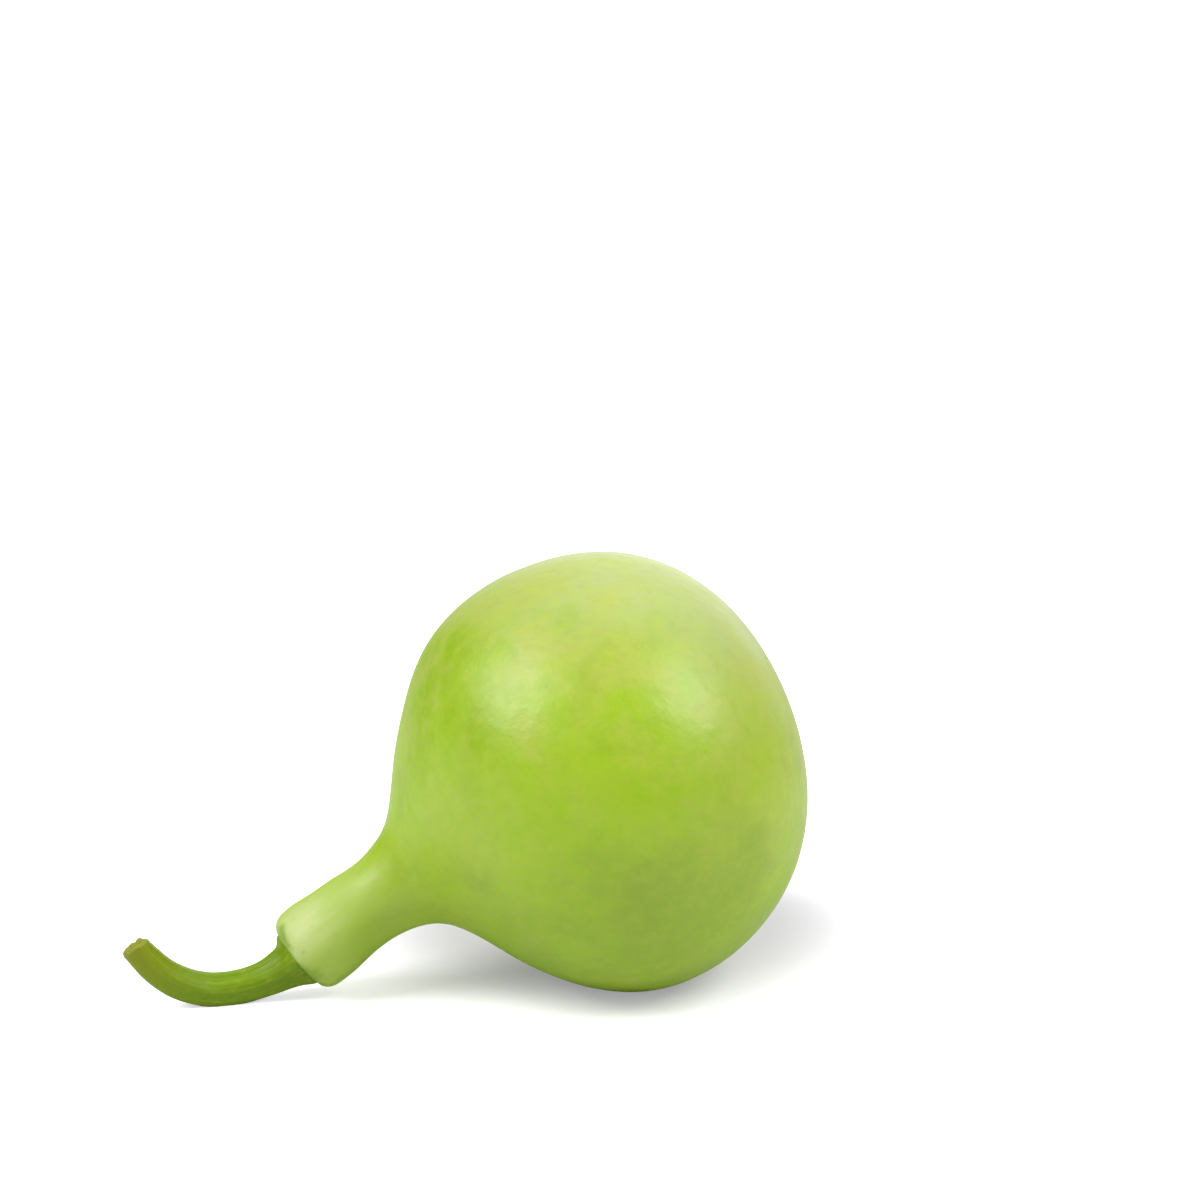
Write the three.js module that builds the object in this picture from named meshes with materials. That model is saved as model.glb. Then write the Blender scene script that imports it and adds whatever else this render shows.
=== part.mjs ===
// A small round bottle gourd, lying on its side as picked.
// The fruit is one solid: a round body that runs into a tapered neck. The stem is a second solid,
// with its root in a socket in the neck's end. Both are turned profiles, bent along a spine.
// Millimetres, +Z up. The neck points to -X. The origin is the bottom centre of the bounding box.
import * as THREE from 'three';

// --- Fruit: profile along its spine, from the blossom end ----------------------------------------
const BODY_RADIUS = 60;
const BLOSSOM_LENGTH = 54; // blossom end to the widest ring
const BLOSSOM_ROUNDNESS = 2.2; // 2 is an ellipse, more is blunter
const SHOULDER_LENGTH = 55.5; // widest ring to where the shoulder would close
const SHOULDER_ROUNDNESS = 1.96;
const SHOULDER_TANGENT_STATION = 101;
const FRUIT_LENGTH = 149.5;

const NECK_RADIUS = 11.7;
const NECK_FLARE = 12.4; // growth of the neck's radius over one flare length
const NECK_FLARE_LENGTH = 28;
const NECK_FLARE_STATION = 127.3; // the flare starts here and grows towards the body
const NECK_FLARE_LIMIT = 1.6; // flare lengths, after which it lies inside the shoulder
const NECK_BLEND = 8; // width of the fillet between shoulder and neck
const NECK_KNOB = 0.85; // slight swelling of the neck before its rounded end
const NECK_KNOB_STATION = 142;
const NECK_KNOB_LENGTH = 8;
const NECK_END_RADIUS = 8.6;
const NECK_END_ROUNDING = 4.8;

const HOLLOW_DEPTH = 3.9; // slight hollow over the upper side of the shoulder
const HOLLOW_STATION = 96.5;
const HOLLOW_LENGTH = 12;

const SCAR_DEPTH = 1.6; // dimple that the flower left
const SCAR_RADIUS = 5;
const SWELL = 0.005; // unevenness of the body's section, as a share of its radius
const SWELL_TWIST = 40; // length over which the unevenness turns by a radian

// --- Fruit: spine, which starts at the blossom end and runs down towards -X ----------------------
const SPINE_SLOPE = 17.3; // degrees below level at the blossom end
const SPINE_BEND = 24.5; // degrees more at the end of the bend
const BEND_START = 16;
const BEND_END = 190;
const NECK_SWAY = 6; // how far a whole length of neck would lean towards +Y
const REST_DEPTH = 1.4; // how deep the resting spot flattens the belly

// --- Stem: profile along its spine, from the neck's end ------------------------------------------
const STEM_LENGTH = 52;
const STEM_RADIUS = 4.5;
const TIP_RADIUS = 3.6;
const TIP_ROUNDING = 0.8;
const COLLAR_FLARE = 1.6; // added to the radius at the collar
const COLLAR_LENGTH = 7.5;
const LIP_FLARE = 2.4; // a shorter flare, where the collar meets the neck
const LIP_LENGTH = 2.1;
const RIB_COUNT = 5;
const RIB_HEIGHT = 0.3;
const RIB_TURN = 70; // degrees from the upper side to the first rib, towards -Y
const ROOT_RADIUS = 4.2;
const ROOT_DEPTH = 6;
const JOINT_GAP = 0.3; // clearance round the root and under the collar

// --- Stem: spine, which leaves the neck's end and turns up to the cut tip ------------------------
const COLLAR_TURN = 10.5; // degrees that the collar turns up
const COLLAR_TURN_LENGTH = 5;
const STEM_BEND = 86; // degrees that the rest of the stem turns up
const STEM_BEND_START = 1;
const STEM_BEND_END = 55;
const STEM_SWAY = 7; // how far the tip bends back towards -Y

// --- Mesh fineness -------------------------------------------------------------------------------
const FRUIT_SEGMENTS = 48;
const BLOSSOM_RINGS = 18;
const NECK_RINGS = 36;
const RIM_RINGS = 3;
const STEM_SEGMENTS = 30;
const STEM_RINGS = 26;
const SPINE_STEP = 0.5;

const { clamp, degToRad, lerp, smoothstep } = THREE.MathUtils;
const bell = (distance, width) => Math.exp(-((distance / width) ** 2));

// The larger of two radii, with a fillet where they meet.
function blend(a, b, width) {
  const share = Math.max(width - Math.abs(a - b), 0) / width;
  return Math.max(a, b) + (share ** 3 * width) / 6;
}

// A spine that runs towards -X, given by its slope below level and its sideways place at each
// station. Stations before zero run straight back from its start.
function makeSpine(start, length, slopeAt, swayAt) {
  const centres = [start];
  for (let i = 0; i * SPINE_STEP < length; i += 1) {
    const slope = slopeAt((i + 0.5) * SPINE_STEP);
    const step = new THREE.Vector3(-Math.cos(slope), 0, -Math.sin(slope));
    centres.push(centres[i].clone().addScaledVector(step, SPINE_STEP));
  }
  return (station) => {
    const slope = slopeAt(Math.max(station, 0));
    const along = new THREE.Vector3(-Math.cos(slope), 0, -Math.sin(slope));
    const up = new THREE.Vector3(-Math.sin(slope), 0, Math.cos(slope));
    const index = Math.min(Math.max(Math.floor(station / SPINE_STEP), 0), centres.length - 1);
    const centre = centres[index].clone();
    centre.addScaledVector(along, station - index * SPINE_STEP);
    centre.y = swayAt(station);
    return { centre, along, up };
  };
}

// Bends a turned body along a spine. The profile's height is the station. The section's radius is
// scaled by swell(station, turn), where turn is the angle from the upper side towards -Y.
function bendAlong(geometry, spine, swell) {
  const position = geometry.attributes.position;
  const point = new THREE.Vector3();
  for (let i = 0; i < position.count; i += 1) {
    const [x, station, z] = [position.getX(i), position.getY(i), position.getZ(i)];
    const { centre, up } = spine(station);
    const scale = swell(station, Math.atan2(z, x), Math.hypot(x, z));
    point.copy(centre).addScaledVector(up, x * scale);
    point.y -= z * scale;
    position.setXYZ(i, point.x, point.y, point.z);
  }
  return geometry;
}

// --- Fruit ---------------------------------------------------------------------------------------
// The shoulder is a superellipse up to SHOULDER_TANGENT_STATION, and then a straight cone.
function shoulderRadius(station) {
  const curveEnd = Math.min(station, SHOULDER_TANGENT_STATION);
  const share = (curveEnd - BLOSSOM_LENGTH) / SHOULDER_LENGTH;
  const rest = 1 - share ** SHOULDER_ROUNDNESS;
  const radius = BODY_RADIUS * rest ** (1 / SHOULDER_ROUNDNESS);
  const fall = (radius / rest) * (share ** (SHOULDER_ROUNDNESS - 1) / SHOULDER_LENGTH);
  return radius - fall * (station - curveEnd);
}

function fruitRadius(station) {
  const shoulder = shoulderRadius(station);
  const flare = clamp((NECK_FLARE_STATION - station) / NECK_FLARE_LENGTH, 0, NECK_FLARE_LIMIT);
  const knob = NECK_KNOB * bell(station - NECK_KNOB_STATION, NECK_KNOB_LENGTH);
  return blend(shoulder, NECK_RADIUS + NECK_FLARE * flare * flare, NECK_BLEND) + knob;
}

function fruitProfile() {
  const points = [];
  for (let i = 0; i < BLOSSOM_RINGS; i += 1) {
    const angle = (Math.PI / 2) * (i / BLOSSOM_RINGS);
    const radius = BODY_RADIUS * Math.sin(angle) ** (2 / BLOSSOM_ROUNDNESS);
    const station = BLOSSOM_LENGTH * (1 - Math.cos(angle) ** (2 / BLOSSOM_ROUNDNESS));
    points.push(new THREE.Vector2(radius, station + SCAR_DEPTH * bell(radius, SCAR_RADIUS)));
  }
  const rimStart = FRUIT_LENGTH - NECK_END_ROUNDING;
  for (let i = 0; i < NECK_RINGS; i += 1) {
    const station = lerp(BLOSSOM_LENGTH, rimStart, i / NECK_RINGS);
    points.push(new THREE.Vector2(fruitRadius(station), station));
  }
  for (let i = 0; i <= RIM_RINGS; i += 1) {
    const angle = (Math.PI / 2) * (i / RIM_RINGS);
    const radius = lerp(NECK_END_RADIUS, fruitRadius(rimStart), Math.cos(angle));
    points.push(new THREE.Vector2(radius, rimStart + NECK_END_ROUNDING * Math.sin(angle)));
  }
  const socketRadius = ROOT_RADIUS + JOINT_GAP;
  const socketFloor = FRUIT_LENGTH - ROOT_DEPTH - JOINT_GAP;
  points.push(new THREE.Vector2(socketRadius, FRUIT_LENGTH));
  points.push(new THREE.Vector2(socketRadius, socketFloor));
  points.push(new THREE.Vector2(0, socketFloor));
  return points;
}

function fruitSwell(station, turn, radius) {
  if (radius === 0) return 1;
  const twist = (station - BLOSSOM_LENGTH) / SWELL_TWIST;
  const lobes = SWELL * (Math.cos(2 * turn + twist) + Math.cos(3 * turn - twist));
  const upperSide = (1 + Math.cos(turn)) / 2;
  const hollow = HOLLOW_DEPTH * bell(station - HOLLOW_STATION, HOLLOW_LENGTH) * upperSide;
  return 1 + lobes * smoothstep(radius, SCAR_RADIUS, BODY_RADIUS) - hollow / radius;
}

const fruitSlope = (station) =>
  degToRad(SPINE_SLOPE + SPINE_BEND * smoothstep(station, BEND_START, BEND_END));
const fruitSway = (station) => NECK_SWAY * (Math.max(station - BLOSSOM_LENGTH, 0) / FRUIT_LENGTH) ** 2;
const fruitSpine = makeSpine(new THREE.Vector3(), FRUIT_LENGTH, fruitSlope, fruitSway);

function makeFruit() {
  const geometry = new THREE.LatheGeometry(fruitProfile(), FRUIT_SEGMENTS);
  const material = new THREE.MeshStandardMaterial({ color: 0x9dbd45, roughness: 0.42 });
  const fruit = new THREE.Mesh(bendAlong(geometry, fruitSpine, fruitSwell), material);
  fruit.name = 'fruit';
  return fruit;
}

// --- Stem ----------------------------------------------------------------------------------------
function stemRadius(station) {
  const taper = (STEM_RADIUS - TIP_RADIUS) * (station / STEM_LENGTH) ** 4;
  const flare = COLLAR_FLARE * bell(station, COLLAR_LENGTH) + LIP_FLARE * bell(station, LIP_LENGTH);
  return STEM_RADIUS - taper + flare;
}

function stemProfile() {
  const points = [
    new THREE.Vector2(0, -ROOT_DEPTH),
    new THREE.Vector2(ROOT_RADIUS, -ROOT_DEPTH),
    new THREE.Vector2(ROOT_RADIUS, JOINT_GAP),
  ];
  for (let i = 0; i < STEM_RINGS; i += 1) {
    const share = (i / (STEM_RINGS - 1)) ** 1.3;
    const station = lerp(JOINT_GAP, STEM_LENGTH - TIP_ROUNDING, share);
    points.push(new THREE.Vector2(stemRadius(station), station));
  }
  points.push(new THREE.Vector2(TIP_RADIUS - TIP_ROUNDING, STEM_LENGTH));
  points.push(new THREE.Vector2(0, STEM_LENGTH));
  return points;
}

function stemSwell(station, turn, radius) {
  if (station <= 0 || radius <= ROOT_RADIUS) return 1;
  return 1 + (RIB_HEIGHT / STEM_RADIUS) * Math.cos(RIB_COUNT * (turn - degToRad(RIB_TURN)));
}

function makeStem() {
  const neckEndSlope = fruitSlope(FRUIT_LENGTH);
  const slope = (station) =>
    neckEndSlope -
    degToRad(COLLAR_TURN) * smoothstep(station, 0, COLLAR_TURN_LENGTH) -
    degToRad(STEM_BEND) * smoothstep(station, STEM_BEND_START, STEM_BEND_END);
  const sway = (station) =>
    fruitSway(FRUIT_LENGTH + station) - STEM_SWAY * (Math.max(station, 0) / STEM_LENGTH) ** 2;
  const spine = makeSpine(fruitSpine(FRUIT_LENGTH).centre, STEM_LENGTH, slope, sway);
  const geometry = new THREE.LatheGeometry(stemProfile(), STEM_SEGMENTS);
  const material = new THREE.MeshStandardMaterial({ color: 0x6f9426, roughness: 0.5 });
  const stem = new THREE.Mesh(bendAlong(geometry, spine, stemSwell), material);
  stem.name = 'stem';
  return stem;
}

// --- At rest -------------------------------------------------------------------------------------
const gourd = new THREE.Group();
gourd.add(makeFruit(), makeStem());

// Nothing reaches below the floor, so belly and stem rest on small flat spots.
const measure = (object) => new THREE.Box3().setFromObject(object, true);
const floor = measure(gourd.children[0]).min.z + REST_DEPTH;
for (const { geometry } of gourd.children) {
  const position = geometry.attributes.position;
  for (let i = 0; i < position.count; i += 1) {
    position.setZ(i, Math.max(position.getZ(i), floor));
  }
}

const box = measure(gourd);
const middle = box.getCenter(new THREE.Vector3());
gourd.position.set(-middle.x, -middle.y, -box.min.z);

export default gourd;
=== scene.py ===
"""A small round bottle gourd, at rest on its side on a pale studio floor.

The fruit and the stem are each one closed skin. A ring is extruded from station to station along a
spine, and formulas then press the small unevenness of a grown thing into the skin.
Metres, +Z up. The neck points to -X, and the floor is at z = 0.
"""
import math

import bpy
from bpy.props import FloatProperty, FloatVectorProperty, IntProperty, PointerProperty
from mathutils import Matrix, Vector, noise


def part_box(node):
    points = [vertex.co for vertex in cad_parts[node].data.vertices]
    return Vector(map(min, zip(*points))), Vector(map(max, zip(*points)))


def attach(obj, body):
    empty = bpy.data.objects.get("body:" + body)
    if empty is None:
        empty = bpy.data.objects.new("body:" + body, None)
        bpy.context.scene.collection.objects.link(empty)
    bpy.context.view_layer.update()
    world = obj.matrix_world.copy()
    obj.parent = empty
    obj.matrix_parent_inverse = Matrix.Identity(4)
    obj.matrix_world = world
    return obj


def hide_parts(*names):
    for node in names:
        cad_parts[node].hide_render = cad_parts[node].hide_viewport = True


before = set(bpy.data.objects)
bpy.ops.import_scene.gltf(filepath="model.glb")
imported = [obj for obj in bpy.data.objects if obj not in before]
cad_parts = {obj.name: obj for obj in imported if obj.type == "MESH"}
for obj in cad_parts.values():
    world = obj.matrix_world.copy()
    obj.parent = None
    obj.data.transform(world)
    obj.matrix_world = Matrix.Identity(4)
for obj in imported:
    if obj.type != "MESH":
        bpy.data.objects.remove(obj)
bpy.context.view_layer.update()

FRUIT_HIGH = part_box("fruit")[1]

bl_info = {
    "name": "Bottle gourd",
    "version": (1, 0, 0),
    "blender": (4, 5, 0),
    "location": "3D View > Sidebar > Gourd",
    "description": "Models a small round bottle gourd with its stem, and a studio to see it in",
    "category": "Add Mesh",
}

MM = 0.001
CM_PER_M = 100
SPINE_STEP = 0.5 * MM
PLACE_TOLERANCE = 0.01 * MM


# --- Settings ------------------------------------------------------------------------------------
def size(name, description, default):
    return FloatProperty(name=name, description=description, default=default, unit="LENGTH")


def angle(name, description, degrees):
    return FloatProperty(
        name=name, description=description, default=math.radians(degrees), subtype="ANGLE"
    )


def share(name, description, default):
    return FloatProperty(name=name, description=description, default=default, subtype="FACTOR")


def colour(name, description, default):
    return FloatVectorProperty(
        name=name, description=description, default=default, size=3, subtype="COLOR"
    )


class FruitSizes(bpy.types.PropertyGroup):
    """Sizes of the fruit, along its spine from the blossom end."""

    blossom_setback: size("Blossom setback", "Spine's start behind the foremost skin", 3.9 * MM)
    blossom_height: size("Blossom height", "Height of the spine's start", 73.93 * MM)
    body_radius: size("Body radius", "Radius of the widest ring", 60 * MM)
    blossom_length: size("Blossom length", "Blossom end to the widest ring", 54 * MM)
    blossom_roundness: FloatProperty(
        name="Blossom roundness", description="2 is an ellipse, more is blunter", default=2.2
    )
    shoulder_length: size("Shoulder length", "Widest ring to where it would close", 55.5 * MM)
    shoulder_roundness: FloatProperty(
        name="Shoulder roundness", description="2 is an ellipse, less is more pointed", default=1.96
    )
    tangent_station: size("Tangent station", "Where the shoulder turns into a cone", 101 * MM)
    length: size("Length", "Whole fruit along its spine", 149.5 * MM)
    neck_radius: size("Neck radius", "Radius of the neck near its end", 11.7 * MM)
    neck_flare: size("Neck flare", "Growth of the neck's radius over one flare", 12.4 * MM)
    neck_flare_length: size("Flare length", "Length of one flare", 28 * MM)
    neck_flare_station: size("Flare station", "Where the flare starts", 127.3 * MM)
    neck_blend: size("Neck blend", "Fillet between shoulder and neck", 8 * MM)
    neck_knob: size("Neck knob", "Swelling of the neck before its rounded end", 0.85 * MM)
    knob_station: size("Knob station", "Middle of that swelling", 142 * MM)
    knob_length: size("Knob length", "Half length of that swelling", 8 * MM)
    neck_end_radius: size("Neck end radius", "Radius of the flat end", 8.6 * MM)
    neck_end_rounding: size("Neck end rounding", "Length of the rounded rim", 4.8 * MM)
    hollow_depth: size("Hollow depth", "Hollow over the upper shoulder", 3.9 * MM)
    hollow_station: size("Hollow station", "Middle of the hollow", 96.5 * MM)
    hollow_length: size("Hollow length", "Half length of the hollow", 12 * MM)
    scar_depth: size("Scar depth", "Dimple that the flower left", 1.6 * MM)
    scar_radius: size("Scar radius", "Radius of that dimple", 5 * MM)
    swell: share("Swell", "Unevenness of the section, as a share of its radius", 0.005)
    swell_twist: size("Swell twist", "Length over which it turns by a radian", 40 * MM)
    dent_depth: size("Dent depth", "Depth of the broad, soft dents", 0.22 * MM)
    dent_width: size("Dent width", "Width of the broad, soft dents", 24 * MM)
    neck_lump: size("Neck lumps", "Height of the lumps along the neck", 0.55 * MM)
    pucker_depth: size("Pucker depth", "Depth of the folds at the neck's end", 0.35 * MM)
    spine_slope: angle("Spine slope", "Below level at the blossom end", 17.3)
    spine_bend: angle("Spine bend", "More slope at the end of the bend", 24.5)
    bend_start: size("Bend start", "Where the spine starts to bend", 16 * MM)
    bend_end: size("Bend end", "Where the bend would be complete", 190 * MM)
    neck_sway: size("Neck sway", "Sideways lean of a whole length of neck", 6 * MM)
    segments: IntProperty(name="Segments", description="Sides of a ring", default=144)


class StemSizes(bpy.types.PropertyGroup):
    """Sizes of the stem, along its spine from the neck's end."""

    length: size("Length", "Collar to cut tip", 52 * MM)
    radius: size("Radius", "Radius at the middle", 4.5 * MM)
    tip_radius: size("Tip radius", "Radius at the cut", 3.6 * MM)
    tip_rounding: size("Tip rounding", "Worn edge of the cut", 0.8 * MM)
    collar_flare: size("Collar flare", "Added radius at the collar", 1.6 * MM)
    collar_length: size("Collar length", "Length of the collar's flare", 7.5 * MM)
    lip_flare: size("Lip flare", "Added radius where the collar meets the neck", 1.5 * MM)
    lip_length: size("Lip length", "Length of the lip's flare", 2.5 * MM)
    rib_count: IntProperty(name="Ribs", description="Ribs along the stem", default=5)
    rib_height: size("Rib height", "Height of a rib", 0.3 * MM)
    rib_turn: angle("Rib turn", "From the upper side to the first rib", 70)
    fibre_height: size("Fibre height", "Height of the fine fibres", 0.07 * MM)
    lip_sink: size("Lip sink", "Depth of the collar's edge in the neck's end", 0.3 * MM)
    lip_points: share("Lip points", "How far the collar's edge runs out over each rib", 0.07)
    cut_slant: size("Cut slant", "How far the cut leans across the tip", 0.3 * MM)
    cut_raggedness: size("Cut raggedness", "Unevenness of the cut's edge", 0.7 * MM)
    root_radius: size("Root radius", "Radius of the root in its socket", 4.2 * MM)
    root_depth: size("Root depth", "Depth of the root", 6 * MM)
    joint_gap: size("Joint gap", "Clearance round root and collar", 0.3 * MM)
    collar_turn: angle("Collar turn", "How far the collar turns up", 10.5)
    collar_turn_length: size("Collar turn length", "Length of that turn", 5 * MM)
    bend: angle("Bend", "How far the rest turns up", 86)
    bend_start: size("Bend start", "Where the bend starts", 1 * MM)
    bend_end: size("Bend end", "Where the bend would be complete", 55 * MM)
    sway: size("Sway", "How far the tip bends towards -Y", 7 * MM)
    segments: IntProperty(name="Segments", description="Sides of a ring", default=120)


class Finish(bpy.types.PropertyGroup):
    """Colours of skin and stem."""

    skin: colour("Skin", "Main yellow-green of the skin", (0.325, 0.480, 0.026))
    skin_deep: colour("Deep skin", "Deep green patches", (0.262, 0.425, 0.002))
    skin_fresh: colour("Fresh skin", "Bright green patches", (0.300, 0.495, 0.004))
    skin_olive: colour("Olive skin", "Duller green patches", (0.258, 0.378, 0.022))
    skin_light: colour("Light skin", "Light green streaks, mottling and flecks", (0.41, 0.52, 0.035))
    skin_warm: colour("Warm skin", "Yellowish blotches", (0.405, 0.465, 0.070))
    skin_pale: colour("Pale skin", "Cream blush", (0.410, 0.475, 0.165))
    neck: colour("Neck", "Lighter green of the neck", (0.44, 0.59, 0.07))
    # Partly paler skin near the neck's end, partly a painted highlight along its upper side.
    neck_pale_and_highlight: colour("Pale neck", "Pale skin on the neck's upper side", (0.50, 0.59, 0.21))
    collar: colour("Collar", "Green skin round the stem's root", (0.225, 0.365, 0.020))
    tan: colour("Tan", "Healed marks and the scar's rim", (0.42, 0.36, 0.11))
    scar: colour("Scar", "Dry scar at the blossom end", (0.12, 0.08, 0.035))
    stem: colour("Stem", "Main green of the stem", (0.158, 0.272, 0.001))
    # Paler rib crests: partly the stem's own colour, partly a painted highlight.
    stem_rib: colour("Rib", "Crests of the ribs", (0.305, 0.400, 0.032))
    stem_tip: colour("Stem tip", "Drying skin near the cut", (0.235, 0.256, 0.006))
    stem_cut: colour("Cut", "Fibrous cut face", (0.235, 0.250, 0.030))


class Studio(bpy.types.PropertyGroup):
    """Camera, lights and floor."""

    azimuth: angle("Azimuth", "Camera's turn about the gourd", -13)
    elevation: angle("Elevation", "Camera's height as an angle", 12)
    distance: size("Distance", "Camera to the point that it looks at", 768.6 * MM)
    aim: FloatVectorProperty(
        name="Aim",
        description="Point that the camera looks at",
        default=(0.0392, 0.0096, 0.1038),
        size=3,
        subtype="TRANSLATION",
    )
    lens: FloatProperty(name="Lens", description="Focal length in millimetres", default=85)
    floor: colour("Floor", "Floor colour", (0.78, 0.78, 0.78))
    floor_glow: share("Floor glow", "Brightness of the floor's own glow", 0.60)
    left_power: FloatProperty(name="Left power", description="Watts", default=8.6, unit="POWER")
    right_power: FloatProperty(name="Right power", description="Watts", default=7.0, unit="POWER")
    room: share("Room", "Brightness of the room in every direction", 0.12)
    back_wall: FloatProperty(name="Back wall", description="Brightness", default=1.9)
    ceiling: FloatProperty(name="Ceiling", description="Brightness", default=1.6)


# --- Curves and spines ---------------------------------------------------------------------------
def smoothstep(value, low, high):
    part = min(max((value - low) / (high - low), 0.0), 1.0)
    return part * part * (3.0 - 2.0 * part)


def lerp(a, b, part):
    return a + (b - a) * part


def bell(distance, width):
    return math.exp(-((distance / width) ** 2))


def blend(a, b, width):
    """The larger of two radii, with a fillet where they meet."""
    part = max(width - abs(a - b), 0.0) / width
    return max(a, b) + part**3 * width / 6.0


def along(slope):
    return Vector((-math.cos(slope), 0, -math.sin(slope)))


def make_spine(start, length, slope_at, sway_at):
    """Gives a function from a station to the spine's centre and slope there."""
    centres = [start.copy()]
    for i in range(math.ceil(length / SPINE_STEP)):
        centres.append(centres[-1] + along(slope_at((i + 0.5) * SPINE_STEP)) * SPINE_STEP)

    def at(station):
        slope = slope_at(max(station, 0.0))
        index = min(max(int(station / SPINE_STEP), 0), len(centres) - 1)
        centre = centres[index] + along(slope) * (station - index * SPINE_STEP)
        centre.y = sway_at(station)
        return centre, slope

    return at


# --- Modelling -----------------------------------------------------------------------------------
def model_rings(name, rings, segments):
    """Models a closed skin by extruding a ring through (centre, slope, radius) stations."""
    bpy.ops.object.select_all(action="DESELECT")
    centre, slope, radius = rings[0]
    bpy.ops.mesh.primitive_circle_add(
        vertices=segments,
        radius=radius,
        fill_type="NOTHING",
        location=centre,
        rotation=(0, math.pi / 2 - slope, 0),
    )
    piece = bpy.context.object
    piece.name = piece.data.name = name
    bpy.ops.object.transform_apply()
    bpy.ops.object.mode_set(mode="EDIT")
    bpy.ops.mesh.select_all(action="SELECT")
    for next_centre, next_slope, next_radius in rings[1:]:
        bpy.ops.mesh.extrude_region_move(TRANSFORM_OT_translate={"value": next_centre - centre})
        if next_slope != slope:
            bpy.ops.transform.rotate(
                value=next_slope - slope, orient_axis="Y", center_override=next_centre
            )
        scale = next_radius / radius
        bpy.ops.transform.resize(value=(scale, scale, scale), center_override=next_centre)
        centre, slope, radius = next_centre, next_slope, next_radius
    bpy.ops.object.mode_set(mode="OBJECT")
    check_rings(piece, rings, segments)
    close_ends()
    return piece


def check_rings(piece, rings, segments):
    """Stops the script if a ring isn't where its station says."""
    for index, vertex in enumerate(piece.data.vertices):
        centre, slope, radius = rings[index // segments]
        out = vertex.co - centre
        off = max(abs(out.length - radius), abs(out.dot(along(slope))))
        if off > PLACE_TOLERANCE:
            raise RuntimeError(f"{piece.name}: ring {index // segments} is out of place")


def close_ends():
    """Fills the active piece's first and last ring, each with faces round a middle point."""
    bpy.ops.object.mode_set(mode="EDIT")
    bpy.ops.mesh.select_all(action="SELECT")
    bpy.ops.mesh.fill_holes(sides=0)
    bpy.ops.mesh.select_all(action="DESELECT")
    bpy.ops.mesh.select_face_by_sides(number=4, type="GREATER")
    bpy.ops.mesh.poke()
    bpy.ops.mesh.select_all(action="SELECT")
    bpy.ops.mesh.normals_make_consistent(inside=False)
    bpy.ops.mesh.select_all(action="DESELECT")
    bpy.ops.object.mode_set(mode="OBJECT")
    bpy.ops.object.shade_smooth()


def press_skin(piece, rings, stations, segments, push):
    """Moves each ring's vertices by what push(station, turn, radius, place) gives.

    push gives how far outwards and how far along the spine. turn is the angle from the upper side
    towards -Y. It also writes the attribute skin_space, which unrolls the skin: the turn's cosine
    and sine, and the station in centimetres.
    """
    mesh = piece.data
    space = mesh.attributes.new("skin_space", "FLOAT_VECTOR", "POINT")
    for vertex in mesh.vertices:
        ring = vertex.index // segments
        if ring >= len(rings):
            end = 0 if (vertex.co - rings[0][0]).length < (vertex.co - rings[-1][0]).length else -1
            space.data[vertex.index].vector = (0, 0, stations[end] * CM_PER_M)
            outwards, onwards = push(stations[end], 0, 0, vertex.co)
            vertex.co += along(rings[end][1]) * onwards
            continue
        centre, slope, radius = rings[ring]
        up = Vector((-math.sin(slope), 0, math.cos(slope)))
        out = vertex.co - centre
        turn = math.atan2(-out.y, out.dot(up))
        space.data[vertex.index].vector = (
            math.cos(turn),
            math.sin(turn),
            stations[ring] * CM_PER_M,
        )
        outwards, onwards = push(stations[ring], turn, radius, vertex.co)
        vertex.co += out.normalized() * outwards + along(slope) * onwards
    mesh.update()


def rest_on_floor(piece):
    """Presses flat what would reach below the floor."""
    for vertex in piece.data.vertices:
        vertex.co.z = max(vertex.co.z, 0.0)
    piece.data.update()


# --- Fruit ---------------------------------------------------------------------------------------
BLOSSOM_RINGS = 52
NECK_RINGS = 72
RIM_RINGS = 12
NECK_FLARE_LIMIT = 1.6
DENT_SHAPES = ((1.0, 1.0), (0.42, 0.35))  # width and depth, as shares of the broad dents
NUB_RADIUS = 1.2 * MM
NUB_HEIGHT = 0.7 * MM
SCAR_RING_RADIUS = 2.9 * MM
SCAR_RING_WIDTH = 0.7 * MM
SCAR_RING_HEIGHT = 0.3 * MM
NECK_START = 106 * MM
NECK_FADE = 16 * MM  # length over which the neck's lumps and folds set in
NECK_LUMP_WIDTH = 12 * MM
NECK_LUMP_LEVEL = 0.4  # lumps sink the skin more than they raise it
END_FOLDS = (9 * MM, 1 * MM)  # from the neck's end: where its folds set in and are full


def fruit_slope(sizes, station):
    bend = smoothstep(station, sizes.bend_start, sizes.bend_end)
    return sizes.spine_slope + sizes.spine_bend * bend


def fruit_sway(sizes, station):
    beyond = max(station - sizes.blossom_length, 0.0)
    return sizes.neck_sway * (beyond / sizes.length) ** 2


def fruit_spine(sizes):
    start = Vector((FRUIT_HIGH.x - sizes.blossom_setback, 0, sizes.blossom_height))
    return make_spine(
        start,
        sizes.length,
        lambda station: fruit_slope(sizes, station),
        lambda station: fruit_sway(sizes, station),
    )


def shoulder_radius(sizes, station):
    """A superellipse up to the tangent station, and then a straight cone."""
    bluntness = sizes.shoulder_roundness
    curve_end = min(station, sizes.tangent_station)
    part = (curve_end - sizes.blossom_length) / sizes.shoulder_length
    rest = 1.0 - part**bluntness
    radius = sizes.body_radius * rest ** (1.0 / bluntness)
    fall = radius / rest * part ** (bluntness - 1.0) / sizes.shoulder_length
    return radius - fall * (station - curve_end)


def fruit_radius(sizes, station):
    flare = (sizes.neck_flare_station - station) / sizes.neck_flare_length
    flare = min(max(flare, 0.0), NECK_FLARE_LIMIT)
    neck = sizes.neck_radius + sizes.neck_flare * flare * flare
    knob = sizes.neck_knob * bell(station - sizes.knob_station, sizes.knob_length)
    return blend(shoulder_radius(sizes, station), neck, sizes.neck_blend) + knob


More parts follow.
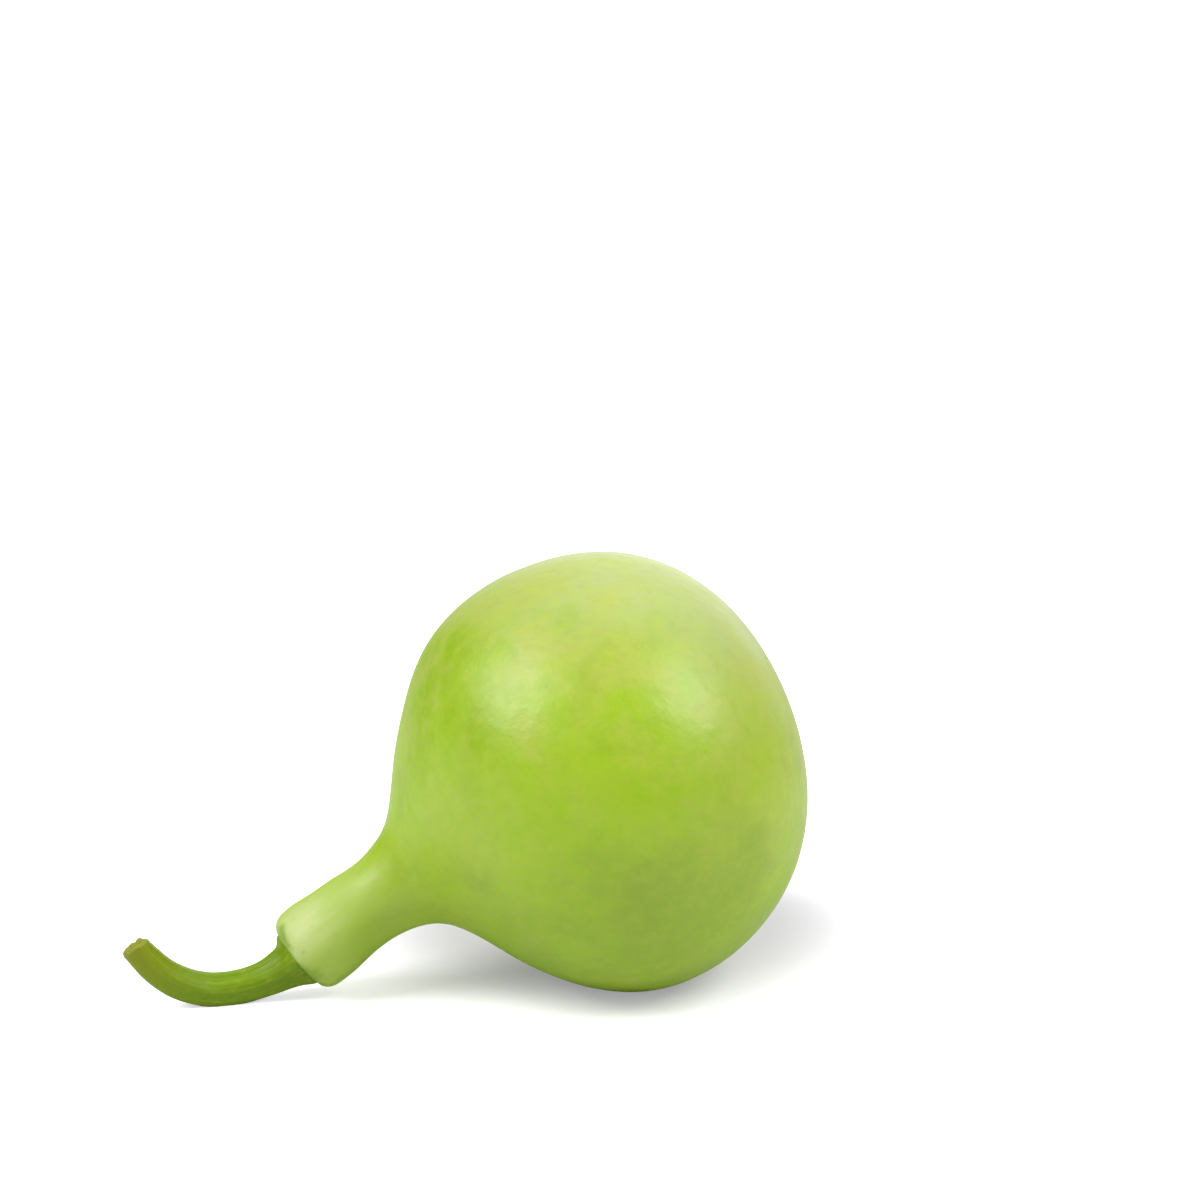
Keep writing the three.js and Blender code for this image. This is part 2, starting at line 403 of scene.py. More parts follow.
def scar_relief(sizes, radius):
    """How far the scar's dimple, ring and nub set the skin along the spine."""
    dimple = sizes.scar_depth * bell(radius, sizes.scar_radius)
    ring = SCAR_RING_HEIGHT * bell(radius - SCAR_RING_RADIUS, SCAR_RING_WIDTH)
    nub = NUB_HEIGHT * bell(radius, NUB_RADIUS)
    return dimple - ring - nub


def fruit_profile(fruit, stem):
    """Lists (station, radius) from the blossom end to the floor of the stem's socket."""
    profile = []
    exponent = 2.0 / fruit.blossom_roundness
    for i in range(1, BLOSSOM_RINGS):
        turn = math.pi / 2 * (i / BLOSSOM_RINGS) ** 2
        radius = fruit.body_radius * math.sin(turn) ** exponent
        station = fruit.blossom_length * (1.0 - math.cos(turn) ** exponent)
        profile.append((station + scar_relief(fruit, radius), radius))
    rim_start = fruit.length - fruit.neck_end_rounding
    for i in range(NECK_RINGS):
        station = lerp(fruit.blossom_length, rim_start, i / NECK_RINGS)
        profile.append((station, fruit_radius(fruit, station)))
    for i in range(RIM_RINGS + 1):
        turn = math.pi / 2 * i / RIM_RINGS
        radius = lerp(fruit.neck_end_radius, fruit_radius(fruit, rim_start), math.cos(turn))
        profile.append((rim_start + fruit.neck_end_rounding * math.sin(turn), radius))
    socket_radius = stem.root_radius + stem.joint_gap
    socket_floor = fruit.length - stem.root_depth - stem.joint_gap
    profile.append((fruit.length, lerp(fruit.neck_end_radius, socket_radius, 0.5)))
    profile.append((fruit.length, socket_radius))
    profile.append((socket_floor, socket_radius))
    profile.append((socket_floor, socket_radius / 4))
    return profile


def fruit_push(fruit, stem, station, turn, radius, place):
    """Unevenness of the fruit: the hollow, slow lobes, soft dents, and folds at the neck's end."""
    twist = (station - fruit.blossom_length) / fruit.swell_twist
    lobes = fruit.swell * (math.cos(2 * turn + twist) + math.cos(3 * turn - twist))
    body = smoothstep(radius, fruit.scar_radius, fruit.body_radius)
    upper_side = (1.0 + math.cos(turn)) / 2
    hollow = bell(station - fruit.hollow_station, fruit.hollow_length) * upper_side
    dents = -1.0
    for width, depth in DENT_SHAPES:
        dents += depth * noise.noise(place / (fruit.dent_width * width))
    dents *= smoothstep(radius, fruit.scar_radius, 2 * fruit.scar_radius)
    skin = 1.0 if radius > stem.root_radius + 2 * stem.joint_gap else 0.0
    neck = smoothstep(station, NECK_START, NECK_START + NECK_FADE) * skin
    folds = 0.5 * (math.cos(stem.rib_count * (turn - stem.rib_turn)) - 1.0)
    end = smoothstep(station, fruit.length - END_FOLDS[0], fruit.length - END_FOLDS[1]) * skin
    lumps = noise.noise(place / NECK_LUMP_WIDTH) - NECK_LUMP_LEVEL
    outwards = (
        radius * lobes * body
        - fruit.hollow_depth * hollow
        + fruit.dent_depth * dents
        + fruit.neck_lump * lumps * neck
        + fruit.pucker_depth * folds * (0.4 * neck + end)
    )
    return outwards, 0.0


class GOURD_OT_add_fruit(bpy.types.Operator):
    """Models the fruit: body, neck, blossom scar and the socket for the stem"""

    bl_idname = "gourd.add_fruit"
    bl_label = "Add fruit"

    def execute(self, context):
        sizes = context.scene.gourd_fruit
        stem_sizes = context.scene.gourd_stem
        profile = fruit_profile(sizes, stem_sizes)
        spine = fruit_spine(sizes)
        rings = [(*spine(station), radius) for station, radius in profile]
        stations = [station for station, radius in profile]
        fruit = model_rings("fruit_skin", rings, sizes.segments)

        def push(station, turn, radius, place):
            return fruit_push(sizes, stem_sizes, station, turn, radius, place)

        press_skin(fruit, rings, stations, sizes.segments, push)
        rest_on_floor(fruit)
        fruit.data.materials.append(skin_material(context.scene.gourd_finish, sizes, spine))
        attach(fruit, "root")
        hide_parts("fruit")
        return {"FINISHED"}


# --- Stem ----------------------------------------------------------------------------------------
STEM_RINGS = 96
RIDGES = ((1, 1.0), (2, -0.22), (4, 0.12))  # harmonics of the ribs and their shares
STEM_RING_CROWDING = 1.3  # above 1, rings stand closer at the collar
FIBRE_LENGTH = 14 * MM
STEM_LUMP_WIDTH = 6 * MM
STEM_LUMP_HEIGHT = 0.15 * MM
PITH_DEPTH = 0.6 * MM
PITH_RINGS = (0.85, 0.7, 0.55, 0.4, 0.2)  # shares of the cut's radius
CUT_LENGTH = 4 * MM  # stretch before the tip that the slant and the torn edge draw along
CUT_TURN = math.radians(80)
TIP_FLARE = 0.3 * MM
TIP_FLARE_LENGTH = 1.6 * MM


def stem_spine(fruit, stem):
    neck_end, neck_slope = fruit_spine(fruit)(fruit.length)

    def slope(station):
        collar = stem.collar_turn * smoothstep(station, 0, stem.collar_turn_length)
        return neck_slope - collar - stem.bend * smoothstep(station, stem.bend_start, stem.bend_end)

    def sway(station):
        lean = stem.sway * (max(station, 0.0) / stem.length) ** 2
        return fruit_sway(fruit, fruit.length + station) - lean

    return make_spine(neck_end, stem.length, slope, sway)


def stem_radius(stem, station):
    taper = (stem.radius - stem.tip_radius) * (station / stem.length) ** 4
    flare = stem.collar_flare * bell(station, stem.collar_length)
    lip = stem.lip_flare * bell(station, stem.lip_length)
    return stem.radius - taper + flare + lip


def stem_profile(stem):
    """Lists (station, radius) from the root's end to the cut tip."""
    profile = [
        (-stem.root_depth, stem.root_radius / 4),
        (-stem.root_depth, stem.root_radius),
        (-2 * stem.lip_sink, stem.root_radius),
        (-stem.lip_sink, stem_radius(stem, 0.0) - 2 * stem.lip_sink),
    ]
    cut = stem.length - stem.tip_rounding
    for i in range(STEM_RINGS):
        station = lerp(-stem.lip_sink / 2, cut, (i / (STEM_RINGS - 1)) ** STEM_RING_CROWDING)
        profile.append((station, stem_radius(stem, station)))
    rounding = stem.tip_rounding
    profile.append((cut + rounding * 0.65, stem.tip_radius - rounding * 0.3))
    edge = stem.tip_radius - rounding
    profile.append((stem.length, edge))
    for part in PITH_RINGS:
        profile.append((stem.length - PITH_DEPTH * smoothstep(1 - part, 0.1, 0.7), edge * part))
    return profile


def stem_push(stem, station, turn, radius, place):
    """Ribs, fine fibres, the collar's pointed edge and the ragged cut."""
    if station < 0 and radius <= stem.root_radius:
        return 0.0, 0.0
    ribs = 0.0
    for harmonic, height in RIDGES:
        ribs += height * math.cos(harmonic * stem.rib_count * (turn - stem.rib_turn))
    ribs *= stem.rib_height * radius / stem.radius
    around = Vector((math.cos(turn), math.sin(turn), 0))
    fibres = noise.noise(around * 7 + Vector((0, 0, station / FIBRE_LENGTH)))
    lumps = noise.noise(place / STEM_LUMP_WIDTH)
    lip = bell(station, stem.lip_length) * smoothstep(radius, stem.root_radius, stem.radius)
    points = math.cos(stem.rib_count * (turn - stem.rib_turn)) + 0.8 * noise.noise(around * 3)
    tip = smoothstep(station, stem.length - CUT_LENGTH, stem.length)
    slant = stem.cut_slant * (math.cos(turn - CUT_TURN) - 1.0)
    torn = stem.cut_raggedness * (noise.noise(around * 1.7) + 0.5 * noise.noise(around * 6) - 0.6)
    outwards = (
        ribs * (1.0 - 0.5 * tip)
        + stem.fibre_height * fibres
        + STEM_LUMP_HEIGHT * lumps
        + stem.lip_points * radius * lip * points
        + TIP_FLARE * bell(station - stem.length, TIP_FLARE_LENGTH) * radius / stem.tip_radius
    )
    return outwards, tip * radius / stem.tip_radius * (slant + torn)


def mark_ribs(piece, stem):
    """Writes the attribute rib, which runs from -1 in a groove to 1 on a rib's crest."""
    space = piece.data.attributes["skin_space"].data
    rib = piece.data.attributes.new("rib", "FLOAT", "POINT").data
    for index, point in enumerate(space):
        turn = math.atan2(point.vector.y, point.vector.x)
        rib[index].value = math.cos(stem.rib_count * (turn - stem.rib_turn))


class GOURD_OT_add_stem(bpy.types.Operator):
    """Models the stem: root, collar, ribs and cut tip"""

    bl_idname = "gourd.add_stem"
    bl_label = "Add stem"

    def execute(self, context):
        sizes = context.scene.gourd_stem
        profile = stem_profile(sizes)
        spine = stem_spine(context.scene.gourd_fruit, sizes)
        rings = [(*spine(station), radius) for station, radius in profile]
        stations = [station for station, radius in profile]
        stem = model_rings("stem_skin", rings, sizes.segments)

        def push(station, turn, radius, place):
            return stem_push(sizes, station, turn, radius, place)

        press_skin(stem, rings, stations, sizes.segments, push)
        mark_ribs(stem, sizes)
        rest_on_floor(stem)
        stem.data.materials.append(stem_material(context.scene.gourd_finish, sizes))
        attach(stem, "root")
        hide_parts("stem")
        return {"FINISHED"}


# --- Materials -----------------------------------------------------------------------------------
class Nodes:
    """Adds shader nodes to one material, and joins them."""

    def __init__(self, name):
        self.material = bpy.data.materials.new(name)
        self.material.use_nodes = True
        self.tree = self.material.node_tree
        self.shader = self.tree.nodes["Principled BSDF"]

    def add(self, kind, inputs=None, **settings):
        node = self.tree.nodes.new(kind)
        for key, value in settings.items():
            setattr(node, key, value)
        for key, value in (inputs or {}).items():
            self.feed(node.inputs[key], value)
        return node

    def feed(self, socket, value):
        if isinstance(value, bpy.types.NodeSocket):
            self.tree.links.new(value, socket)
        else:
            socket.default_value = value

    def noise(self, vector, scale, detail=3.0, roughness=0.5):
        inputs = {"Vector": vector, "Scale": scale, "Detail": detail, "Roughness": roughness}
        return self.add("ShaderNodeTexNoise", inputs).outputs["Fac"]

    def fit(self, value, low, high, to_low=0.0, to_high=1.0):
        inputs = {
            "Value": value,
            "From Min": low,
            "From Max": high,
            "To Min": to_low,
            "To Max": to_high,
        }
        return self.add("ShaderNodeMapRange", inputs).outputs["Result"]

    def ease(self, value, low, high, to_low=0.0, to_high=1.0):
        """Like fit, with a soft start and end."""
        result = self.fit(value, low, high, to_low, to_high)
        result.node.interpolation_type = "SMOOTHSTEP"
        return result

    def math(self, operation, a, b):
        node = self.add("ShaderNodeMath", operation=operation)
        self.feed(node.inputs[0], a)
        self.feed(node.inputs[1], b)
        return node.outputs[0]

    def mix(self, factor, a, b):
        node = self.add("ShaderNodeMix", data_type="RGBA")
        self.feed(node.inputs["Factor"], factor)
        self.feed(node.inputs["A"], a)
        self.feed(node.inputs["B"], b)
        return node.outputs["Result"]

    def stretch(self, vector, scale):
        inputs = {"Vector": vector, "Scale": scale}
        return self.add("ShaderNodeMapping", inputs).outputs["Vector"]

    def distance(self, vector, point):
        node = self.add("ShaderNodeVectorMath", operation="DISTANCE")
        self.feed(node.inputs[0], vector)
        node.inputs[1].default_value = point
        return node.outputs["Value"]

    def dot(self, vector, direction):
        node = self.add("ShaderNodeVectorMath", operation="DOT_PRODUCT")
        self.feed(node.inputs[0], vector)
        node.inputs[1].default_value = direction
        return node.outputs["Value"]

    def apart(self, value, middle):
        """How far a value is from middle, either way."""
        return self.math("ABSOLUTE", self.math("SUBTRACT", value, middle), 0)

    def raise_skin(self, height, distance, strength=1.0):
        """Gives the shader a bump of that height, in metres for each unit."""
        inputs = {"Height": height, "Strength": strength, "Distance": distance}
        bump = self.add("ShaderNodeBump", inputs)
        self.feed(self.shader.inputs["Normal"], bump.outputs["Normal"])


# Soft patches on the body: towards, where each starts and is full, its amount and colour. 1 is the
# skin that faces straight towards, and 0 is a quarter turn away.
BLUSHES = (
    # The first two make the top and the upper right of the body paler and creamier.
    ((0.54, 0.33, 0.77), 0.05, 0.75, 0.85, "skin_pale"),
    ((-0.26, -0.31, 0.92), 0.84, 1.0, 0.5, "skin_pale"),
    ((-0.19, -0.81, 0.56), 0.84, 1.0, 0.7, "skin_warm"),
    ((0.67, -0.72, 0.17), 0.80, 1.0, 0.5, "skin_warm"),
    ((-0.53, -0.07, 0.85), 0.90, 1.0, 0.5, "skin_warm"),
    ((-0.95, -0.28, 0.16), 0.80, 1.0, 0.8, "skin_fresh"),
    ((-0.88, -0.31, 0.37), 0.84, 1.0, 1.0, "skin_deep"),
    ((-0.18, -0.97, 0.12), 0.80, 1.0, 0.85, "skin_fresh"),
    ((0.10, -0.82, -0.42), 0.78, 1.0, 0.85, "skin_olive"),
    # Darker, deeper green on the underside.
    ((0.05, -0.35, -0.94), 0.45, 1.0, 0.8, "skin_deep"),
)


def opaque(rgb):
    return (*rgb, 1.0)


BLUSH_RAGGEDNESS = 0.12
# The neck's highlight is painted into its colour on this side.
NECK_HIGHLIGHT_TURN = math.radians(38)  # from straight up towards -Y
NECK_HIGHLIGHT_SIDE = (math.cos(NECK_HIGHLIGHT_TURN), math.sin(NECK_HIGHLIGHT_TURN), 0)
NECK_WAIST_DISTANCE = 22 * MM  # neck's end to its greener, duller waist
STREAK_REACH = 3 * MM  # how far streaks carry the neck's colours along
TONGUE_REACH = 2 * MM  # how far the collar's green runs in and out
CRUMB_REACH = 0.4 * MM  # unevenness of the scar's edge
SKIN_RELIEF = 0.03 * MM
WAVE_SHARE = 10
GRAIN_SHARE = 0.25
SKIN_SPECULAR = 0.43
STEM_RELIEF = 0.12 * MM
STEM_RELIEF_STRENGTH = 0.3
STEM_SPECULAR = 0.2
CUT_EDGE = (0.06, 0.02)  # centimetres from the tip where the cut's colour sets in and is full


def blush(nodes, place, middle, radius, towards, start, full):
    """A soft patch on the side of the body that faces towards, as a mask."""
    aside = nodes.add("ShaderNodeVectorMath", operation="SUBTRACT")
    nodes.feed(aside.inputs[0], place)
    aside.inputs[1].default_value = middle
    facing = nodes.dot(aside.outputs["Vector"], Vector(towards).normalized() / radius)
    rough = nodes.noise(place, 55, 3, 0.6)
    ragged = nodes.fit(rough, 0.3, 0.7, -BLUSH_RAGGEDNESS, BLUSH_RAGGEDNESS)
    return nodes.ease(nodes.math("ADD", facing, ragged), start, full)


def body_colour(nodes, place, height, finish, sizes, spine):
    """Slow green patches, the blushes, and yellowish blotches that grow stronger higher up."""
    patches = nodes.fit(nodes.noise(place, 24, 2), 0.40, 0.62)
    base = nodes.mix(patches, opaque(finish.skin), opaque(finish.skin_fresh))
    olive = nodes.fit(nodes.noise(nodes.stretch(place, (1, 1, 1.4)), 37, 3), 0.5, 0.68, 0, 0.7)
    base = nodes.mix(olive, base, opaque(finish.skin_olive))
    middle = spine(sizes.blossom_length)[0]
    for towards, start, full, amount, name in BLUSHES:
        patch = blush(nodes, place, middle, sizes.body_radius, towards, start, full)
        base = nodes.mix(nodes.math("MULTIPLY", patch, amount), base, opaque(getattr(finish, name)))
    warm = nodes.fit(nodes.noise(place, 85, 3, 0.6), 0.47, 0.64, 0, 0.55)
    warm = nodes.math("MULTIPLY", warm, nodes.ease(height, 45 * MM, 95 * MM, 0.25, 1))
    return nodes.mix(warm, base, opaque(finish.skin_warm))


def fine_colour(nodes, base, place, streaks, flecks, finish):
    """Faint streaks, fine mottling, light and dark, and pale flecks."""
    base = nodes.mix(nodes.fit(streaks, 0.5, 0.78, 0, 0.4), base, opaque(finish.skin_light))
    mottle = nodes.noise(place, 300, 5, 0.65)
    base = nodes.mix(nodes.fit(mottle, 0.48, 0.75, 0, 0.4), base, opaque(finish.skin_light))
    base = nodes.mix(nodes.fit(mottle, 0.30, 0.48, 0.25, 0), base, opaque(finish.skin_olive))
    return nodes.mix(flecks, base, opaque(finish.skin_light))


def neck_colour(nodes, base, place, unrolled, along_neck, from_waist, finish):
    """Lighter neck: paler towards its end, with a painted highlight along its upper side; greener at
    its waist, and green at the collar.
    """
    from_neck_end, ragged = along_neck
    facing = nodes.dot(unrolled, NECK_HIGHLIGHT_SIDE)
    upper = nodes.ease(facing, 0.6, 1, 0.17, 1)
    base = nodes.mix(nodes.ease(ragged, 22 * MM, 44 * MM, 0.6, 0), base, opaque(finish.neck))
    # Painted highlight along the neck's upper side near its end, over slightly paler skin all round.
    pale_end_and_highlight = nodes.math("MULTIPLY", nodes.ease(ragged, 10 * MM, 38 * MM, 0.95, 0), upper)
    base = nodes.mix(pale_end_and_highlight, base, opaque(finish.neck_pale_and_highlight))
    base = nodes.mix(nodes.ease(from_waist, 0, 8 * MM, 0.3, 0), base, opaque(finish.skin_fresh))
    tongues = nodes.fit(nodes.noise(place, 260, 3), 0.3, 0.7, -TONGUE_REACH, TONGUE_REACH)
    edge = nodes.math("ADD", from_neck_end, tongues)
    return nodes.mix(nodes.ease(edge, 8.6 * MM, 12.8 * MM, 0.95, 0), base, opaque(finish.collar))


def scar_colour(nodes, base, from_scar, crumbs, finish):
    """Dry, crumbly scar with a healed rim."""
    base = nodes.mix(nodes.ease(from_scar, 2.6 * MM, 7 * MM, 0.7, 0), base, opaque(finish.tan))
    dry = nodes.mix(nodes.fit(crumbs, 0.35, 0.7, 0, 0.3), opaque(finish.scar), opaque(finish.tan))
    return nodes.mix(nodes.ease(from_scar, 1.8 * MM, 3.8 * MM, 1, 0), base, dry)


def skin_roughness(nodes, place, height, from_waist, from_scar):
    """Satin skin, duller at the neck's waist, on the scar and low on the belly."""
    dull = nodes.ease(from_waist, 0, 9 * MM, 0.16, 0)
    dull = nodes.math("ADD", dull, nodes.ease(from_scar, 2 * MM, 4.5 * MM, 0.45, 0))
    dull = nodes.math("ADD", dull, nodes.ease(height, 0, 50 * MM, 0.14, 0))
    bloom = nodes.fit(nodes.noise(place, 60, 3), 0.3, 0.7, 0.36, 0.44)
    return nodes.math("ADD", bloom, dull)


def skin_relief(nodes, place, flecks):
    """Slow waves and fine grain of the skin."""
    grain = nodes.math("ADD", nodes.noise(place, 900, 3), nodes.math("MULTIPLY", flecks, 0.8))
    waves = nodes.math("MULTIPLY", nodes.noise(place, 190, 3), WAVE_SHARE)
    return nodes.math("ADD", nodes.math("MULTIPLY", grain, GRAIN_SHARE), waves)


def skin_material(finish, sizes, spine):
    """Waxy yellow-green skin of the body, the neck and the blossom scar."""
    nodes = Nodes("gourd_skin")
    place = nodes.add("ShaderNodeTexCoord").outputs["Object"]
    unrolled = nodes.add("ShaderNodeAttribute", attribute_name="skin_space").outputs["Vector"]
    height = nodes.dot(place, (0, 0, 1))
    streaks = nodes.noise(nodes.stretch(unrolled, (2.6, 2.6, 0.2)), 2.0, 4, 0.6)
    cells = nodes.add("ShaderNodeTexVoronoi", {"Vector": place, "Scale": 620})
    flecks = nodes.fit(cells.outputs["Distance"], 0.04, 0.28, 0.2, 0)
    from_neck_end = nodes.distance(place, spine(sizes.length)[0])
    carried = nodes.fit(streaks, 0.3, 0.7, -STREAK_REACH, STREAK_REACH)
    ragged = nodes.math("ADD", from_neck_end, carried)
    from_waist = nodes.apart(ragged, NECK_WAIST_DISTANCE)
    crumbs = nodes.noise(place, 620, 3, 0.5)
    crumbled = nodes.fit(crumbs, 0.3, 0.7, -CRUMB_REACH, CRUMB_REACH)
    blossom_end = spine(sizes.scar_depth)[0]
    from_scar = nodes.math("ADD", nodes.distance(place, blossom_end), crumbled)

    base = body_colour(nodes, place, height, finish, sizes, spine)
    base = fine_colour(nodes, base, place, streaks, flecks, finish)
    base = neck_colour(
        nodes, base, place, unrolled, (from_neck_end, ragged), from_waist, finish
    )
    marks = nodes.math("MULTIPLY", nodes.noise(place, 34, 1), nodes.noise(place, 410, 3))
    base = nodes.mix(nodes.fit(marks, 0.37, 0.45, 0, 0.2), base, opaque(finish.tan))
    base = scar_colour(nodes, base, from_scar, crumbs, finish)
    nodes.feed(nodes.shader.inputs["Base Color"], base)
    roughness = skin_roughness(nodes, place, height, from_waist, from_scar)
    nodes.feed(nodes.shader.inputs["Roughness"], roughness)
    nodes.shader.inputs["Specular IOR Level"].default_value = SKIN_SPECULAR
    nodes.raise_skin(skin_relief(nodes, place, flecks), SKIN_RELIEF)
    return nodes.material


def stem_material(finish, sizes):
    """Green stem: paler rib crests and darker grooves, partly its own colour and partly painted
    highlight and shade; fine fibres, a drying tip and a fibrous cut.
    """
    nodes = Nodes("gourd_stem")
    place = nodes.add("ShaderNodeTexCoord").outputs["Object"]
    unrolled = nodes.add("ShaderNodeAttribute", attribute_name="skin_space").outputs["Vector"]
    station = nodes.add("ShaderNodeSeparateXYZ", {"Vector": unrolled}).outputs["Z"]
    rib = nodes.add("ShaderNodeAttribute", attribute_name="rib").outputs["Fac"]

    fibres = nodes.noise(nodes.stretch(unrolled, (9.0, 9.0, 0.45)), 2.0, 4, 0.6)
    streaky = nodes.fit(fibres, 0.35, 0.7, -0.35, 0.5)
    # Paler crests and darker grooves: partly the stem's colour, partly painted highlight on the
    # crests and painted shade in the grooves.
    crest = nodes.math("ADD", nodes.fit(rib, -0.2, 1.0, 0, 0.7), streaky)
    base = nodes.mix(crest, opaque(finish.stem), opaque(finish.stem_rib))
    mottle = nodes.fit(nodes.noise(place, 500, 4), 0.5, 0.75, 0, 0.4)
    base = nodes.mix(mottle, base, opaque(finish.stem_rib))
    tip = sizes.length * CM_PER_M
    dry = nodes.math("ADD", station, nodes.fit(fibres, 0.3, 0.7, -0.6, 0.6))
    base = nodes.mix(nodes.fit(dry, tip * 0.5, tip, 0, 0.85), base, opaque(finish.stem_tip))
    cut = nodes.fit(station, tip - CUT_EDGE[0], tip - CUT_EDGE[1])
    base = nodes.mix(cut, base, opaque(finish.stem_cut))
    nodes.feed(nodes.shader.inputs["Base Color"], base)
    nodes.feed(nodes.shader.inputs["Roughness"], nodes.fit(fibres, 0.3, 0.7, 0.38, 0.5))
    relief = nodes.math("ADD", fibres, nodes.noise(place, 1200, 3))
    nodes.shader.inputs["Specular IOR Level"].default_value = STEM_SPECULAR
    nodes.raise_skin(relief, STEM_RELIEF, STEM_RELIEF_STRENGTH)
    return nodes.material


SHADE_MIDDLE = Vector((0.051, 0.043, 0))
SHADE_CORE = 40 * MM
SHADE_REACH = 100 * MM
SHADE_DEPTH = 0.56
FLOOR_WHITE = (0.98, 0.95, 1)  # evens out the green that the gourd throws on it
FLOOR_GLOW = (0.995, 0.98, 1.02)
BLACK = (0, 0, 0, 1)


def floor_material(tint, glow):
    """Pale floor that looks as white as the room, and throws back only what its colour does.

    It is toned down softly round the belly, so that the gourd sits in a pool of shade.
    """
    nodes = Nodes("studio_floor")
    place = nodes.add("ShaderNodeTexCoord").outputs["Object"]
    from_shade = nodes.distance(place, SHADE_MIDDLE)
    lit = nodes.ease(from_shade, SHADE_CORE, SHADE_REACH, 1 - SHADE_DEPTH, 1)
    seen = nodes.add("ShaderNodeLightPath").outputs["Is Camera Ray"]
    white = nodes.mix(lit, BLACK, opaque(FLOOR_WHITE))
    glow = nodes.math("MULTIPLY", lit, glow)
    nodes.feed(nodes.shader.inputs["Base Color"], nodes.mix(seen, opaque(tint), white))
    nodes.shader.inputs["Roughness"].default_value = 0.9
    nodes.shader.inputs["Specular IOR Level"].default_value = 0.0
    nodes.shader.inputs["Emission Color"].default_value = opaque(FLOOR_GLOW)
    nodes.feed(nodes.shader.inputs["Emission Strength"], nodes.math("MULTIPLY", seen, glow))
    return nodes.material


# --- Studio --------------------------------------------------------------------------------------
LIGHT_DISTANCE = 1.0
LEFT_LIGHT = Vector((-0.72, -0.125, 0.681))
RIGHT_LIGHT = Vector((0.548, -0.469, 0.692))
LEFT_LIGHT_SIZE = 0.56
RIGHT_LIGHT_SIZE = 0.48
BACK_WALL = Vector((0.42, 0.9, 0.08))
CEILING = Vector((0.3, 0.35, 0.88))
WALL_FOCUS = 8
SEEN_BRIGHTNESS = 1.05
FLOOR_SIZE = 12
SENSOR_WIDTH = 36
BODY_MIDDLE = Vector((0.037, 0, 0.058))


def add_softbox(name, direction, power, side):
    place = BODY_MIDDLE + direction.normalized() * LIGHT_DISTANCE
    turn = (-direction).to_track_quat("-Z", "Y").to_euler()
    bpy.ops.object.light_add(type="AREA", location=place, rotation=turn)
    light = bpy.context.object
    light.name = light.data.name = name
    light.data.shape = "SQUARE"
    light.data.size = side
    light.data.energy = power


def white_room(studio):
    """A dim room with a bright back wall and ceiling. It looks white wherever it is seen itself."""
    world = bpy.data.worlds.new("white_room")
    bpy.context.scene.world = world
    world.use_nodes = True
    tree = world.node_tree

    def math_node(operation, a, b):
        node = tree.nodes.new("ShaderNodeMath")
        node.operation = operation
        for socket, value in zip(node.inputs, (a, b)):
            if isinstance(value, bpy.types.NodeSocket):
                tree.links.new(value, socket)
            else:
                socket.default_value = value
        return node.outputs[0]

    towards = tree.nodes.new("ShaderNodeTexCoord").outputs["Generated"]
    brightness = studio.room
    for direction, strength in ((BACK_WALL, studio.back_wall), (CEILING, studio.ceiling)):
        facing = tree.nodes.new("ShaderNodeVectorMath")
        facing.operation = "DOT_PRODUCT"
        tree.links.new(towards, facing.inputs[0])
        facing.inputs[1].default_value = direction.normalized()
        panel = math_node("POWER", math_node("MAXIMUM", facing.outputs["Value"], 0.0), WALL_FOCUS)
        brightness = math_node("ADD", math_node("MULTIPLY", panel, strength), brightness)
    seen = tree.nodes.new("ShaderNodeLightPath").outputs["Is Camera Ray"]
    brightness = math_node("MAXIMUM", brightness, math_node("MULTIPLY", seen, SEEN_BRIGHTNESS))
    tree.links.new(brightness, tree.nodes["Background"].inputs["Strength"])
    tree.nodes["Background"].inputs["Color"].default_value = (1, 1, 1, 1)


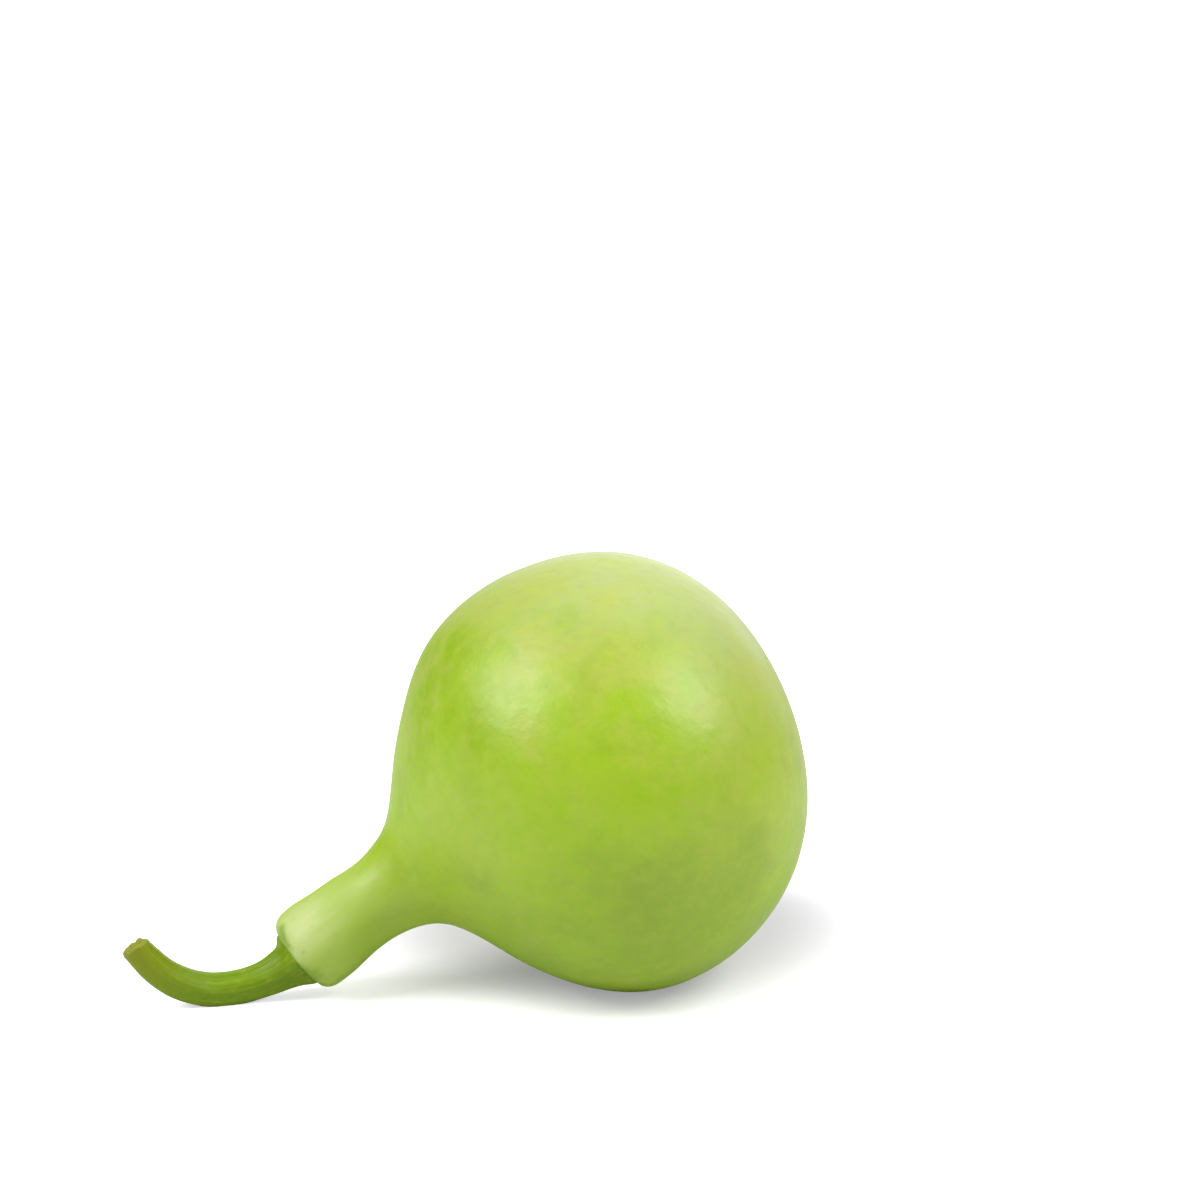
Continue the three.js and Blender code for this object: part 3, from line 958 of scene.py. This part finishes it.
class GOURD_OT_add_studio(bpy.types.Operator):
    """Adds the floor, the lights, the white room and the camera"""

    bl_idname = "gourd.add_studio"
    bl_label = "Add studio"

    def execute(self, context):
        studio = context.scene.gourd_studio
        level = math.cos(studio.elevation)
        back = Vector((
            math.sin(studio.azimuth) * level,
            -math.cos(studio.azimuth) * level,
            math.sin(studio.elevation),
        ))
        bpy.ops.object.camera_add(
            location=Vector(studio.aim) + back * studio.distance,
            rotation=(math.pi / 2 - studio.elevation, 0, studio.azimuth),
        )
        camera = context.object
        camera.data.lens = studio.lens
        camera.data.sensor_width = SENSOR_WIDTH
        camera.data.sensor_fit = "HORIZONTAL"
        context.scene.camera = camera

        bpy.ops.mesh.primitive_plane_add(size=FLOOR_SIZE, location=(0, 0, 0))
        floor = context.object
        floor.name = floor.data.name = "studio_floor"
        floor.data.materials.append(floor_material(studio.floor, studio.floor_glow))

        add_softbox("left_softbox", LEFT_LIGHT, studio.left_power, LEFT_LIGHT_SIZE)
        add_softbox("right_softbox", RIGHT_LIGHT, studio.right_power, RIGHT_LIGHT_SIZE)
        white_room(studio)
        context.scene.view_settings.view_transform = "Standard"
        return {"FINISHED"}


# --- Add-on --------------------------------------------------------------------------------------
class GOURD_PT_panel(bpy.types.Panel):
    """Lists the gourd's pieces and the studio"""

    bl_idname = "GOURD_PT_panel"
    bl_label = "Bottle gourd"
    bl_space_type = "VIEW_3D"
    bl_region_type = "UI"
    bl_category = "Gourd"

    def draw(self, context):
        for operator in OPERATORS:
            self.layout.operator(operator.bl_idname)


OPERATORS = (GOURD_OT_add_studio, GOURD_OT_add_fruit, GOURD_OT_add_stem)
GROUPS = {
    "gourd_fruit": FruitSizes,
    "gourd_stem": StemSizes,
    "gourd_finish": Finish,
    "gourd_studio": Studio,
}


def register():
    for group in (*GROUPS.values(), *OPERATORS, GOURD_PT_panel):
        bpy.utils.register_class(group)
    for name, group in GROUPS.items():
        setattr(bpy.types.Scene, name, PointerProperty(type=group))


def unregister():
    for name in GROUPS:
        delattr(bpy.types.Scene, name)
    for group in (GOURD_PT_panel, *OPERATORS, *GROUPS.values()):
        bpy.utils.unregister_class(group)


def main():
    register()
    bpy.ops.gourd.add_studio()
    bpy.ops.gourd.add_fruit()
    bpy.ops.gourd.add_stem()


if __name__ == "__main__":
    main()
